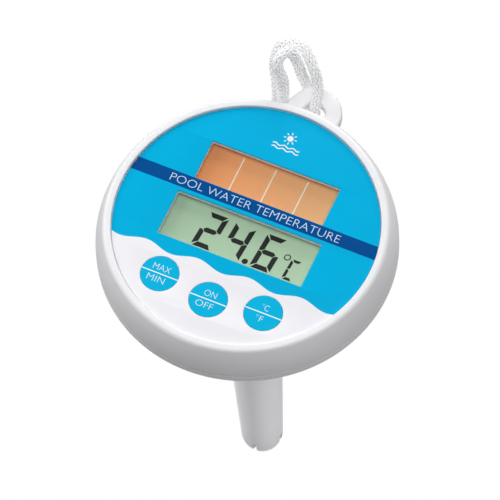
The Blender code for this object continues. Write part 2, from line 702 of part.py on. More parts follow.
def sensor():
    carrier_r, groove_r, hole = 5.8 * MM, 4.2 * MM, 2.4 * MM
    profile = [(hole, 146 * MM), (carrier_r, 146 * MM), (carrier_r, 147.5 * MM), (groove_r, 147.5 * MM)]
    profile += [(groove_r, 149.7 * MM), (carrier_r, 149.7 * MM), (carrier_r, 151.2 * MM), (hole, 151.2 * MM)]
    turned("sensor_carrier", profile, 20, "plug_white", ring=True)
    o_ring("sensor_seal", 5.2 * MM, 0.7 * MM, 148.6 * MM, 20)

    outer, inner, top, end = 2.1 * MM, 1.7 * MM, 144.6 * MM, 160.5 * MM
    lip = 3.2 * MM
    profile = [(0, end - 0.4 * MM), (inner, end - 1.6 * MM), (inner, top), (lip, top)]
    profile += [(lip, top + MM), (outer, top + MM)]
    profile += arc((0, end - outer), (outer, outer), 0, -90, 3)
    turned("sensor_thimble", profile, 16, "metal")

    bead = arc((0, 157 * MM), (1.1 * MM, 1.6 * MM), 90, -90, 6)
    turned("sensor_bead", bead, 10, "epoxy_black")
    run = [at(0, 0, 155 * MM), at(0, 0, 90 * MM), at(0, 0, 30 * MM), at(-1 * MM, -2 * MM, 22 * MM)]
    run += [at(-3 * MM, -7.4 * MM, 17 * MM), at(-5.6 * MM, -12.4 * MM, 14.6 * MM)]
    run += [at(-7.6 * MM, -16 * MM, 13.6 * MM), at(-8 * MM, -17.2 * MM, 13.5 * MM)]
    wire("sensor_cable", smooth_path(run, 3), 0.8 * MM, "wire_black")


# Cord


def cord_pivot():
    """Middle of the lug's bar where the cord wraps it."""
    x = LUG_CENTRE.x + BAR_FROM_HOLE * math.cos(BAR_ANGLE)
    y = LUG_CENTRE.y + BAR_FROM_HOLE * math.sin(BAR_ANGLE)
    return at(x, y, LUG_TOP + LUG_THICK / 2)


def cord_path():
    """Middle line of the whole cord, from the knot round the bar and back to the knot."""
    points = CORD_RISE + CORD_OUTER_ARCH + CORD_WRAP + CORD_INNER_ARCH + CORD_FALL
    return smooth_path([at(x * MM, y * MM, depth * MM) for x, y, depth in points], 4)


def tether_cord():
    cord = wire("tether_cord", cord_path(), CORD_R, "cord_white", cord_pivot())
    bm = bmesh.new()
    bmesh.ops.create_uvsphere(bm, u_segments=14, v_segments=8, radius=KNOT_R)
    knot = bmesh_piece("cord_knot", bm, None, at(*[side * MM for side in KNOT]))
    join(cord, knot)
    return cord


# Finish


def settle():
    """Apply each part's modifiers, then shade round sides smooth and keep real edges sharp."""
    bpy.context.view_layer.update()
    graph = bpy.context.evaluated_depsgraph_get()
    pieces = [piece for piece in PARTS.objects if piece.type == "MESH"]
    baked = {piece: bpy.data.meshes.new_from_object(piece.evaluated_get(graph)) for piece in pieces}
    for piece, mesh in baked.items():
        piece.modifiers.clear()
        piece.data = mesh
        mesh.shade_smooth()
        mesh.set_sharp_from_angle(angle=math.radians(35))


def main():
    upper_case()
    lower_case()
    o_ring("case_gasket", 51.0 * MM, 0.75 * MM, UPSTAND_TOP - GAP - 0.75 * MM, ROUND)
    case_fasteners()
    face_film()
    lens("display_lens", DISPLAY_CENTRE, DISPLAY_SIZE)
    lens("solar_lens", SOLAR_CENTRE, SOLAR_SIZE)
    for label, centre in BUTTONS.items():
        button(label, centre)
        plunger(label, centre)
        boot(label, centre)
    switch_bodies()
    display()
    solar()
    circuit_board()
    board_parts()
    storage_cell()
    probe_tube()
    probe_fittings()
    sensor()
    tether_cord()
    settle()


main()
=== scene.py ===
"""A floating solar pool thermometer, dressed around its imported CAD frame.

Lengths are written in mm and turned into metres by MM. Depths are measured down from the printed face.
"""

import math

import bmesh
import bpy
import numpy as np
from mathutils import Matrix, Vector


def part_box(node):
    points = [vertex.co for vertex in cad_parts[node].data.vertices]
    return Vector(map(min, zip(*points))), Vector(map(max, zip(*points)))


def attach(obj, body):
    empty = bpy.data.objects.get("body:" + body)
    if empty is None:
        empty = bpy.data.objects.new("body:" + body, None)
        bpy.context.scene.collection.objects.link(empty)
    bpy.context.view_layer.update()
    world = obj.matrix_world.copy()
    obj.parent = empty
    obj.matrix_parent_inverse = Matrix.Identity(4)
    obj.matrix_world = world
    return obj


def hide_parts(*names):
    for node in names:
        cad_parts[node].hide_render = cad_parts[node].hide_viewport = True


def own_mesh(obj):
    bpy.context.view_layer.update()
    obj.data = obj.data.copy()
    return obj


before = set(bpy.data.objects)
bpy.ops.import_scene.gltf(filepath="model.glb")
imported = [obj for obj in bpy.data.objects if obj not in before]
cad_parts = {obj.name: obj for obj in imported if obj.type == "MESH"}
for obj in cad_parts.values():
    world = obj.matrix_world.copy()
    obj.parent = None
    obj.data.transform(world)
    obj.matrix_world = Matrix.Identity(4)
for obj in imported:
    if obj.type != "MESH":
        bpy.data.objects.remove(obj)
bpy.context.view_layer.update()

MM = 0.001
GAP = 0.3
TURN = 192  # sides of the large turned pieces

# Levels and radii that come from the frame, in mm
FACE_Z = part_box("face_film")[1].z / MM
RIM_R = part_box("upper_case")[1].x / MM
FILM_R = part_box("face_film")[1].x / MM
COLLAR_END = 31.0

# Outline of the shells, in mm
FACE_R = 48.15
CROWN = 1.1
SEAM = 12.4
DECK_TOP = 0.8
DECK_UNDER = 3.3
UNDERSIDE = 25.0
FLOOR_WALL = 2.6
COLLAR_R = 15.0
NECK_R = 9.0
NECK_TOP = 18.5
PROBE_TOP_R = 11.66
PROBE_TOP = 35.0
DOME_R = 7.9
DOME_HEIGHT = 10.0
TIP_FLAT_R = 1.5
SLOT_WIDTH = 2.3
SLOT_HEIGHT = 11.8
SLOT_FROM_AXIS = 2.6
LUG_Y = 58.0
LUG_R = 10.4
LUG_HOLE_R = 4.2
LUG_TOP = 13.0
LUG_THICK = 4.5
LUG_ROOT_Y = 51.5
KEY_R = 6.98
KEY_HOLE_R = 7.08
CASE_SCREW_CIRCLE = 44.5
SCREW_SEAT = 16.8
COUNTERBORE_R = 2.5

# Openings in the face: centre and size
SOLAR = ((0.0, 18.6), (50.0, 16.2))
DISPLAY = ((0.0, -5.75), (56.0, 18.5))
LENS_LIP = 1.5
BUTTONS = {"max_min": (-20.1, -29.8), "on_off": (0.0, -32.5), "unit": (20.1, -29.8)}
LABELS = {"max_min": ("MAX", "MIN"), "on_off": ("ON", "OFF"), "unit": ("°C", "°F")}

# Cord: (x, y, depth) of its middle line, from the knot over the outer arch, round the lug's bar,
# over the inner arch and back to the knot
CORD_R = 2.1
YARN_PAINTED_GLOW = 0.08  # painted glow: white light the yarn emits, standing in for light that white yarn passes on from strand to strand
CORD_RISE = [(-16.6, 62.8, 24.0), (-16.9, 63.5, 16.1), (-17.0, 63.5, 8.1), (-18.1, 65.4, 0.4)]
CORD_OUTER_ARCH = [(-16.9, 69.7, -6.1), (-9.7, 70.8, -8.2), (-3.0, 65.9, -4.3), (-0.2, 63.0, 2.7)]
CORD_WRAP = [(-0.1, 60.2, 10.5), (-0.6, 59.8, 18.6), (-4.2, 65.7, 21.7), (-8.1, 69.4, 16.2)]
CORD_INNER_ARCH = [(-8.9, 68.1, 8.2), (-9.9, 67.5, 0.1), (-11.3, 66.7, -6.8)]
CORD_INNER_ARCH += [(-13.0, 65.5, -9.9), (-14.5, 62.0, -10.2), (-14.2, 59.8, -7.3)]
CORD_FALL = [(-12.2, 59.1, -0.7), (-12.1, 59.3, 7.6), (-13.0, 60.2, 15.8), (-12.6, 61.6, 24.0)]
KNOT = (-14.8, 62.3, 26.0)

# Print on the face
STRIPE = (5.0, 10.4)
WAVE_LEVEL = -20.0
WAVE_HEIGHT = 1.1
WAVE_LENGTH = 20.0
INK = 0.03  # how far print stands up from its surface
TITLE = "POOL WATER TEMPERATURE"
TITLE_PLACE = ((0.1, 7.7), (66.0, 3.1))
FINE_STROKE = 0.018  # taken off the outline of a letter, as a share of its size
LABEL_WIDTH = {"MAX": 6.6, "MIN": 6.6, "OFF": 6.6, "ON": 4.6, "°C": 2.8, "°F": 2.8}
LABEL_HEIGHT = 2.4
LABEL_SHIFT = (-0.3, 0.2)  # both labels to the left, and each along its own side
LABEL_FROM_LINE = 2.35
SUN = (0.2, 38.2)
SUN_R = 1.15
RAY_REACH = (1.65, 2.5)
RAY_HALF_WIDTH = 0.2
RIPPLE_LEVELS = (34.6, 33.2)
RIPPLE_SPAN = (-5.0, 5.4)
RIPPLE_LENGTH = 3.47
RIPPLE_HEIGHT = 0.32
RIPPLE_HALF_WIDTH = 0.24

# Reading on the display: bars that are on, and the left edge of each digit
READING = (("abged", -16.1), ("fgbc", -5.4), ("afgecd", 6.7))
DIGIT = (7.8, 14.6, 1.9)  # width, height and thickness of bars
DIGIT_BASE = -12.9
DIGIT_SLANT = 4.1
UNIT = (4.0, 8.6, 1.05)
UNIT_LEFT = 19.2
POINT_X = 4.6
POINT_R = 1.1
DEGREE = (17.4, -4.4)
DEGREE_R = (0.85, 1.25)
BAR_THICK = 0.05
BAR_LIFT = 0.04  # how far the bars' upper side stands above the panel

# Contact lines between the cells
CELL_LINE_HALF_WIDTH = 0.22
CELL_LINE_DEPTH = (3.52, 3.6)

# Studio: place and size of each soft box with its power, and place and power of each beam
SOFT_BOXES = {
    "front": ((0.3, -0.35, 2.1), 1.5, 26.8),
    "left": ((-1.6, 0.2, 1.1), 1.2, 17.8),
    "back": ((-0.2, 1.8, 0.9), 1.2, 22.4),
    "right": ((1.7, 0.7, 0.8), 1.0, 2.8),
    "right_front": ((1.5, -0.9, 0.5), 0.8, 1.7),
}
SOFT_BOX_AIM = (0, 0, 0.17)
BEAMS = {"low_right": ((0.74, -0.43, -0.1), 7.6), "low_left": ((-0.84, -0.12, -0.1), 10.5)}
BEAM_AIM = (0, 0, 0.06)
BEAM_HALF_ANGLE = 4.5
WORLD_LEVEL = 0.01  # stray light in the studio
FLOOR_LEVEL = -0.30

# Camera
CAMERA_AZIMUTH = 28.21
CAMERA_ELEVATION = 61.84
CAMERA_ROLL = -4.45
CAMERA_DISTANCE = 2.160
CAMERA_TARGET = (5.42, -8.59)
CAMERA_LENS = 438.6


def srgb(red, green, blue):
    """Linear colour with alpha from display values of 0 to 255."""
    values = []
    for value in (red / 255, green / 255, blue / 255):
        values.append(value / 12.92 if value <= 0.04045 else ((value + 0.055) / 1.055) ** 2.4)
    return (*values, 1.0)


# Materials


class Shader:
    """A small builder for node materials. Coordinates are the object's own, in metres."""

    def __init__(self, name):
        self.material = bpy.data.materials.new(name)
        self.material.use_nodes = True
        self.tree = self.material.node_tree
        self.surface = self.tree.nodes["Principled BSDF"]
        self.output = self.tree.nodes["Material Output"]
        self.coordinates = self.node("ShaderNodeTexCoord").outputs["Object"]

    def node(self, kind, **settings):
        made = self.tree.nodes.new(kind)
        for key, value in settings.items():
            setattr(made, key, value)
        return made

    def put(self, socket, value):
        """Link an output to a socket, or give the socket a plain value."""
        if isinstance(value, bpy.types.NodeSocket):
            self.tree.links.new(value, socket)
        else:
            socket.default_value = value

    def set(self, **values):
        for key, value in values.items():
            self.put(self.surface.inputs[key.replace("_", " ")], value)
        return self

    def math(self, operation, *values):
        made = self.node("ShaderNodeMath", operation=operation)
        for socket, value in zip(made.inputs, values):
            self.put(socket, value)
        return made.outputs[0]

    def axes(self):
        split = self.node("ShaderNodeSeparateXYZ")
        self.put(split.inputs[0], self.coordinates)
        return split.outputs

    def noise(self, scale, detail=3.0, stretch=(1, 1, 1), vector=None):
        """Noise with features about 1/scale metres across."""
        mapping = self.node("ShaderNodeMapping")
        mapping.inputs["Scale"].default_value = stretch
        self.put(mapping.inputs["Vector"], vector or self.coordinates)
        made = self.node("ShaderNodeTexNoise")
        self.put(made.inputs["Vector"], mapping.outputs[0])
        made.inputs["Scale"].default_value = scale
        made.inputs["Detail"].default_value = detail
        return made.outputs["Fac"]

    def span(self, value, low, high):
        """Map 0..1 to low..high."""
        made = self.node("ShaderNodeMapRange")
        self.put(made.inputs["Value"], value)
        made.inputs["To Min"].default_value = low
        made.inputs["To Max"].default_value = high
        return made.outputs[0]

    def between(self, value, low, high):
        """1 where value lies between low and high, in mm."""
        above = self.math("GREATER_THAN", value, low * MM)
        below = self.math("LESS_THAN", value, high * MM)
        return self.math("MULTIPLY", above, below)

    def mix(self, share, first, second):
        made = self.node("ShaderNodeMix", data_type="RGBA")
        colours = [socket for socket in made.inputs if socket.type == "RGBA"]
        self.put(made.inputs[0], share)
        self.put(colours[0], first)
        self.put(colours[1], second)
        return next(socket for socket in made.outputs if socket.type == "RGBA")

    def bump(self, height, strength, distance):
        """Surface relief of the given height in mm."""
        made = self.node("ShaderNodeBump")
        made.inputs["Strength"].default_value = strength
        made.inputs["Distance"].default_value = distance * MM
        self.put(made.inputs["Height"], height)
        self.put(self.surface.inputs["Normal"], made.outputs[0])
        return self


def moulded(name, light, dark, roughness=(0.3, 0.42), grain=2600.0, relief=0.006):
    """Moulded plastic: faint colour drift, uneven gloss and a fine spark-eroded grain."""
    shader = Shader(name)
    drift = shader.noise(28.0, 2.0)
    shader.set(Base_Color=shader.mix(drift, light, dark))
    shader.set(Roughness=shader.span(shader.noise(140.0), *roughness), IOR=1.5)
    return shader.bump(shader.noise(grain, 2.0), 0.35, relief).material


def case_plastic():
    return moulded("case_plastic", srgb(243, 243, 245), srgb(237, 237, 240))


def matt_plastic(name, colour, roughness=0.5):
    darker = (*[value * 0.86 for value in colour[:3]], 1.0)
    return moulded(name, colour, darker, (roughness, roughness + 0.12), 1800.0, 0.01)


def face_print():
    """Satin print: blue over white with a wavy edge, crossed by a dark stripe."""
    shader = Shader("face_print")
    x, y, _ = shader.axes()
    phase = shader.math("MULTIPLY", x, math.tau / (WAVE_LENGTH * MM))
    crest = shader.math("MULTIPLY", shader.math("COSINE", phase), WAVE_HEIGHT * MM)
    height = shader.math("ADD", y, crest)
    blue = shader.math("GREATER_THAN", height, WAVE_LEVEL * MM)
    tint = shader.mix(shader.noise(35.0, 2.0), srgb(0, 170, 217), srgb(0, 175, 221))
    colour = shader.mix(blue, srgb(240, 239, 244), tint)
    stripe = shader.between(y, *STRIPE)
    colour = shader.mix(stripe, colour, srgb(2, 75, 142))
    shader.set(Base_Color=colour, Roughness=shader.span(shader.noise(160.0), 0.34, 0.42))
    shader.set(Specular_IOR_Level=0.06)
    return shader.bump(shader.noise(900.0, 2.0), 0.15, 0.002).material


def key_print():
    """Blue key with a thin white line across its middle."""
    shader = Shader("key_print")
    line = shader.between(shader.axes()[1], -0.2, 0.2)
    tint = shader.mix(shader.noise(90.0, 2.0), srgb(2, 176, 220), srgb(6, 181, 223))
    shader.set(Base_Color=shader.mix(line, tint, srgb(240, 245, 250)))
    shader.set(Roughness=shader.span(shader.noise(260.0), 0.34, 0.44), Specular_IOR_Level=0.08)
    return shader.bump(shader.noise(1500.0, 2.0), 0.2, 0.003).material


def plain_ink(name, colour, roughness=0.4):
    shader = Shader(name)
    faded = (*[value * 0.94 for value in colour[:3]], 1.0)
    shader.set(Base_Color=shader.mix(shader.noise(500.0), colour, faded), Roughness=roughness)
    return shader.material


def clear_window():
    """Clear moulding: see-through, with a faint reflection that grows at grazing angles."""
    shader = Shader("clear_window")
    clear = shader.node("ShaderNodeBsdfTransparent")
    tint = shader.mix(shader.noise(60.0), srgb(252, 253, 252), srgb(249, 252, 251))
    shader.put(clear.inputs["Color"], tint)
    gloss = shader.node("ShaderNodeBsdfGlossy")
    shader.put(gloss.inputs["Roughness"], shader.span(shader.noise(300.0), 0.06, 0.12))
    edge = shader.node("ShaderNodeFresnel")
    edge.inputs["IOR"].default_value = 1.45
    inner = shader.node("ShaderNodeNewGeometry").outputs["Backfacing"]
    outer = shader.math("SUBTRACT", 1.0, inner)
    both = shader.node("ShaderNodeMixShader")
    shader.put(both.inputs[0], shader.math("MULTIPLY", edge.outputs[0], outer))
    shader.put(both.inputs[1], clear.outputs[0])
    shader.put(both.inputs[2], gloss.outputs[0])
    shader.put(shader.output.inputs["Surface"], both.outputs[0])
    return shader.material


def display_panel():
    """Grey-green liquid crystal panel that is a little brighter and yellower to the right."""
    shader = Shader("display_panel")
    across = shader.math("MULTIPLY_ADD", shader.axes()[0], 1 / (60 * MM), 0.5)
    colour = shader.mix(across, srgb(185, 211, 183), srgb(195, 218, 188))
    speckle = shader.noise(6000.0, 1.0)
    colour = shader.mix(shader.math("MULTIPLY", speckle, 0.12), colour, srgb(150, 182, 152))
    shader.set(Base_Color=colour, Roughness=shader.span(shader.noise(300.0), 0.35, 0.45))
    return shader.bump(speckle, 0.2, 0.003).material


def solar_cells():
    """Copper coloured thin-film cells with fine ruled lines."""
    shader = Shader("solar_cells")
    across = shader.math("MULTIPLY_ADD", shader.axes()[0], 1 / (52 * MM), 0.5)
    colour = shader.mix(across, srgb(255, 161, 104), srgb(245, 192, 141))
    cloud = shader.noise(70.0, 3.0)
    colour = shader.mix(shader.math("MULTIPLY", cloud, 0.35), colour, srgb(252, 167, 118))
    ruled = shader.noise(900.0, 1.0, (1.0, 0.02, 1.0))
    colour = shader.mix(shader.math("MULTIPLY", ruled, 0.12), colour, srgb(176, 108, 66))
    shader.set(Base_Color=colour, Roughness=shader.span(ruled, 0.3, 0.42))
    return shader.bump(ruled, 0.25, 0.004).material


def metal(name, colour, roughness=0.25):
    """Turned or rolled metal with fine marks."""
    shader = Shader(name)
    marks = shader.noise(700.0, 2.0, (1.0, 1.0, 9.0))
    darker = (*[value * 0.8 for value in colour[:3]], 1.0)
    shader.set(Base_Color=shader.mix(marks, colour, darker), Metallic=1.0)
    shader.set(Roughness=shader.span(marks, roughness, roughness + 0.14))
    return shader.bump(marks, 0.3, 0.004).material


def rubber(name, colour):
    return matt_plastic(name, colour, 0.62)


def circuit_green():
    """Solder mask with lighter copper tracks showing through."""
    shader = Shader("circuit_green")
    tracks = shader.node("ShaderNodeTexBrick")
    shader.put(tracks.inputs["Vector"], shader.coordinates)
    for key, value in {"Scale": 160.0, "Mortar Size": 0.03}.items():
        tracks.inputs[key].default_value = value
    tracks.inputs["Color1"].default_value = srgb(10, 82, 42)
    tracks.inputs["Color2"].default_value = srgb(14, 92, 48)
    tracks.inputs["Mortar"].default_value = srgb(40, 130, 74)
    shader.set(Base_Color=tracks.outputs["Color"], Roughness=0.35)
    return shader.bump(tracks.outputs["Fac"], 0.3, 0.02).material


def cord_fibre_painted_glow():
    """Polyester yarn: fine filaments that run along each strand, with a faint painted glow."""
    shader = Shader("cord_fibre_painted_glow")
    along = shader.node("ShaderNodeUVMap", uv_map="strand").outputs[0]
    filaments = shader.noise(1.0, 2.0, (1.5, 9.0, 1.0), along)
    colour = shader.mix(filaments, srgb(255, 255, 255), srgb(244, 244, 245))
    shader.set(Base_Color=colour, Roughness=0.72, Sheen_Weight=0.5, Sheen_Roughness=0.4)
    # Painted glow: a faint white emission stands in for light passed on through the yarn.
    shader.set(Emission_Color=(1.0, 1.0, 1.0, 1.0), Emission_Strength=YARN_PAINTED_GLOW)
    return shader.bump(filaments, 0.5, 0.05).material


# Geometry helpers


def arc(centre, radii, start, end, count):
    """Points (radius, depth) on an arc. Angles in degrees, 0 is outward and 90 is up."""
    points = []
    for i in range(count + 1):
        angle = math.radians(start + (end - start) * i / count)
        across, up = radii[0] * math.cos(angle), radii[1] * math.sin(angle)
        points.append((centre[0] + across, centre[1] - up))
    return points


def eased(points, closed=True, steps=4):
    """Round the corners of an outline. A point is (radius, depth) or (radius, depth, fillet)."""
    outline = []
    for i, point in enumerate(points):
        here = Vector(point[:2])
        fillet = point[2] if len(point) > 2 else 0.0
        if not fillet or (not closed and i in (0, len(points) - 1)):
            outline.append(tuple(here))
            continue
        before = Vector(points[i - 1][:2])
        after = Vector(points[(i + 1) % len(points)][:2])
        start = here + (before - here).normalized() * fillet
        end = here + (after - here).normalized() * fillet
        for k in range(steps + 1):
            t = k / steps
            outline.append(tuple(start * (1 - t) ** 2 + here * 2 * t * (1 - t) + end * t**2))
    return outline


def new_object(name, mesh, material=None):
    made = bpy.data.objects.new(name, mesh)
    bpy.context.scene.collection.objects.link(made)
    if material:
        mesh.materials.append(material)
    return made


def from_bmesh(name, bm, material=None):
    mesh = bpy.data.meshes.new(name)
    bmesh.ops.recalc_face_normals(bm, faces=bm.faces)
    bm.to_mesh(mesh)
    bm.free()
    return new_object(name, mesh, material)


def lathe(name, profile, material=None, steps=TURN, ring=True, centre=(0, 0)):
    """A turned solid from (radius, depth) points. ring closes the outline on itself."""
    bm = bmesh.new()
    rows = []
    for radius, depth in profile:
        if radius < 1e-6:
            rows.append([bm.verts.new((0, 0, (FACE_Z - depth) * MM))] * steps)
            continue
        row = []
        for i in range(steps):
            angle = math.tau * i / steps
            place = (radius * math.cos(angle), radius * math.sin(angle), FACE_Z - depth)
            row.append(bm.verts.new(Vector(place) * MM))
        rows.append(row)
    pairs = list(zip(rows, rows[1:] + rows[:1])) if ring else list(zip(rows, rows[1:]))
    for upper, lower in pairs:
        for i in range(steps):
            j = (i + 1) % steps
            corners = []
            for vert in (upper[i], lower[i], lower[j], upper[j]):
                if vert not in corners:
                    corners.append(vert)
            if len(corners) > 2:
                bm.faces.new(corners)
    made = from_bmesh(name, bm, material)
    made.data.transform(Matrix.Translation((centre[0] * MM, centre[1] * MM, 0)))
    return made


def prism(name, outline, top, bottom, material=None):
    """A solid between two depths from an outline across the face."""
    bm = bmesh.new()
    base = [bm.verts.new((x * MM, y * MM, (FACE_Z - bottom) * MM)) for x, y in outline]
    sides = bmesh.ops.extrude_face_region(bm, geom=[bm.faces.new(base)])
    raised = [item for item in sides["geom"] if isinstance(item, bmesh.types.BMVert)]
    bmesh.ops.translate(bm, verts=raised, vec=(0, 0, (bottom - top) * MM))
    return from_bmesh(name, bm, material)


def circle(centre, radius, count):
    angles = [math.tau * i / count for i in range(count)]
    return [(centre[0] + radius * math.cos(a), centre[1] + radius * math.sin(a)) for a in angles]


def rounded_rectangle(centre, size, radius, per_corner=6):
    half_x, half_y = size[0] / 2 - radius, size[1] / 2 - radius
    points = []
    for corner, (side_x, side_y) in enumerate(((1, 1), (-1, 1), (-1, -1), (1, -1))):
        for i in range(per_corner + 1):
            angle = math.radians(90 * corner + 90 * i / per_corner)
            x = centre[0] + side_x * half_x + radius * math.cos(angle)
            y = centre[1] + side_y * half_y + radius * math.sin(angle)
            points.append((x, y))
    return points


def combine(piece, others, operation):
    """Join to or cut from a piece, and apply it."""
    for other in others:
        change = piece.modifiers.new("change", "BOOLEAN")
        change.operation = operation
        change.solver = "EXACT"
        change.object = other
    apply_modifiers(piece)
    for other in others:
        bpy.data.objects.remove(other)
    return piece


def apply_modifiers(piece):
    bpy.context.view_layer.update()
    graph = bpy.context.evaluated_depsgraph_get()
    mesh = bpy.data.meshes.new_from_object(piece.evaluated_get(graph))
    piece.modifiers.clear()
    piece.data = mesh


def bevel(piece, width, segments=3, angle=40.0):
    rounding = piece.modifiers.new("edges", "BEVEL")
    rounding.width = width * MM
    rounding.segments = segments
    rounding.limit_method = "ANGLE"
    rounding.angle_limit = math.radians(angle)
    rounding.harden_normals = False
    apply_modifiers(piece)
    return piece


def shade(piece, angle=32.0):
    piece.data.shade_smooth()
    piece.data.set_sharp_from_angle(angle=math.radians(angle))
    return piece


def dress(piece, body, nodes=()):
    """Smooth a piece and put it on its body, in place of the CAD nodes it stands for."""
    if piece.type == "MESH":
        shade(piece)
    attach(piece, body)
    if nodes:
        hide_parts(*nodes)
    return piece


def flat_plate(name, outlines, top, thickness, edge, material):
    """A flat plate with holes and softly rounded edges: outer outline first."""
    curve = bpy.data.curves.new(name, "CURVE")
    curve.dimensions = "2D"
    curve.fill_mode = "BOTH"
    curve.extrude = (thickness / 2 - edge) * MM
    curve.bevel_depth = edge * MM
    curve.bevel_resolution = 2
    curve.offset = -edge * MM
    for outline in outlines:
        spline = curve.splines.new("POLY")
        spline.points.add(len(outline) - 1)
        for point, (x, y) in zip(spline.points, outline):
            point.co = (x * MM, y * MM, 0, 1)
        spline.use_cyclic_u = True
    flat = bpy.data.objects.new(name, curve)
    flat.location = (0, 0, (FACE_Z - top - thickness / 2) * MM)
    return curve_to_mesh(flat, material)


def curve_to_mesh(curve_object, material):
    """A welded mesh object in place of a curve or text object."""
    name, matrix = curve_object.name, curve_object.matrix_basis.copy()
    bpy.context.scene.collection.objects.link(curve_object)
    bpy.context.view_layer.update()
    graph = bpy.context.evaluated_depsgraph_get()
    mesh = bpy.data.meshes.new_from_object(curve_object.evaluated_get(graph))
    mesh.transform(matrix)
    mesh.materials.clear()
    bpy.data.objects.remove(curve_object)
    bm = bmesh.new()
    bm.from_mesh(mesh)
    bmesh.ops.remove_doubles(bm, verts=bm.verts, dist=1e-7)
    made = from_bmesh(name, bm, material)
    made.name = name
    return made


# Shells


def rim_outline():
    """Outer side of the upper shell, from the lip round the face to the seam."""
    lip, shoulder, tilt = 0.5, 1.9, 27.0
    points = arc((FACE_R + lip, lip - CROWN), (lip, lip), 180, 90, 6)
    points += arc((49.7, shoulder - CROWN), (shoulder, shoulder), 90, tilt, 12)
    start_r, start_depth = points[-1]
    bulge = (RIM_R - start_r) / (1 - math.cos(math.radians(tilt)))
    middle = (RIM_R - bulge, start_depth + bulge * math.sin(math.radians(tilt)))
    return points + arc(middle, (bulge, bulge), tilt, 0, 14)[1:]


def upper_shell(material):
    seam, chamfer = SEAM - GAP / 2, 0.25
    profile = [(0, DECK_TOP), (FACE_R, DECK_TOP), *rim_outline(), (RIM_R, seam - chamfer)]
    profile += [(RIM_R - chamfer, seam), (52.1, seam), (52.1, 6.3), (48.6, 6.3)]
    profile += [(48.6, DECK_UNDER), (0, DECK_UNDER)]
    shell = lathe("float_upper_shell", profile, material, ring=False)
    cutters = []
    for centre, size in (SOLAR, DISPLAY):
        outline = rounded_rectangle(centre, size, 0.5)
        cutters.append(prism("opening", outline, DECK_TOP - 1, DECK_UNDER + 1))
        seat = [side + 2 * LENS_LIP + 2 * GAP for side in size]
        outline = rounded_rectangle(centre, seat, 0.5)
        cutters.append(prism("seat", outline, 2.3 - GAP, DECK_UNDER + 1))
    for centre in BUTTONS.values():
        cutters.append(prism("hole", circle(centre, KEY_HOLE_R, 64), -1, 5))
    combine(shell, cutters, "DIFFERENCE")
    return dress(shell, "case", ["upper_case"])


def lug():
    """The tab that carries the cord, with its edges rounded."""
    angles = [math.pi * i / 48 for i in range(49)]
    outline = [(LUG_R * math.cos(a), LUG_Y + LUG_R * math.sin(a)) for a in angles]
    outline += [(-LUG_R, LUG_ROOT_Y), (LUG_R, LUG_ROOT_Y)]
    tab = prism("tab", outline, LUG_TOP, LUG_TOP + LUG_THICK)
    hole = prism("eye", circle((0, LUG_Y), LUG_HOLE_R, 64), LUG_TOP - 2, LUG_TOP + LUG_THICK + 2)
    combine(tab, [hole], "DIFFERENCE")
    return bevel(tab, 1.1, 5)


def lower_shell(material):
    seam, slope, turn_in = SEAM + GAP / 2, 62.0, 3.5
    edge = arc((RIM_R - turn_in, 14.8), (turn_in, turn_in), 0, -slope, 10)
    edge_r, edge_depth = edge[-1]
    bowl = (UNDERSIDE - edge_depth) / (1 - math.sin(math.radians(slope)))
    middle = (edge_r - bowl * math.cos(math.radians(slope)), UNDERSIDE - bowl)
    under = arc(middle, (bowl, bowl), -slope, -90, 16)[1:]
    inside = arc(middle, (bowl - FLOOR_WALL, bowl - FLOOR_WALL), -90, -66, 6)
    fillet = arc((COLLAR_R + 1.5, UNDERSIDE + 1.5), (1.5, 1.5), 90, 180, 6)
    profile = [(51.8, 8.5), (51.8, seam), (RIM_R - 0.25, seam), (RIM_R, seam + 0.25)]
    profile += [*edge, *under, *fillet]
    profile += eased([(COLLAR_R, 28, 0), (COLLAR_R, COLLAR_END, 0.7), (12.35, COLLAR_END, 0)], False)
    profile += [(12.35, COLLAR_END - 1.8), (10.25, COLLAR_END - 1.8), (10.25, COLLAR_END)]
    profile += [(NECK_R + GAP, COLLAR_END), (NECK_R + GAP, UNDERSIDE - FLOOR_WALL), *inside]
    profile += [(50.2, 15.2), (50.2, 8.5)]
    shell = lathe("float_lower_shell", profile, material)
    bosses = []
    holes = []
    for number in range(6):
        angle = math.radians(30 + 60 * number)
        centre = (CASE_SCREW_CIRCLE * math.cos(angle), CASE_SCREW_CIRCLE * math.sin(angle))
        bosses.append(prism("boss", circle(centre, 3.4, 32), 11.3, 19.9))
        holes.append(prism("counterbore", circle(centre, COUNTERBORE_R, 40), SCREW_SEAT, 24))
        holes.append(prism("clearance", circle(centre, 1.7, 24), 10, SCREW_SEAT + 1))
    combine(shell, [*bosses, lug()], "UNION")
    combine(shell, holes, "DIFFERENCE")
    return dress(shell, "case", ["lower_case"])


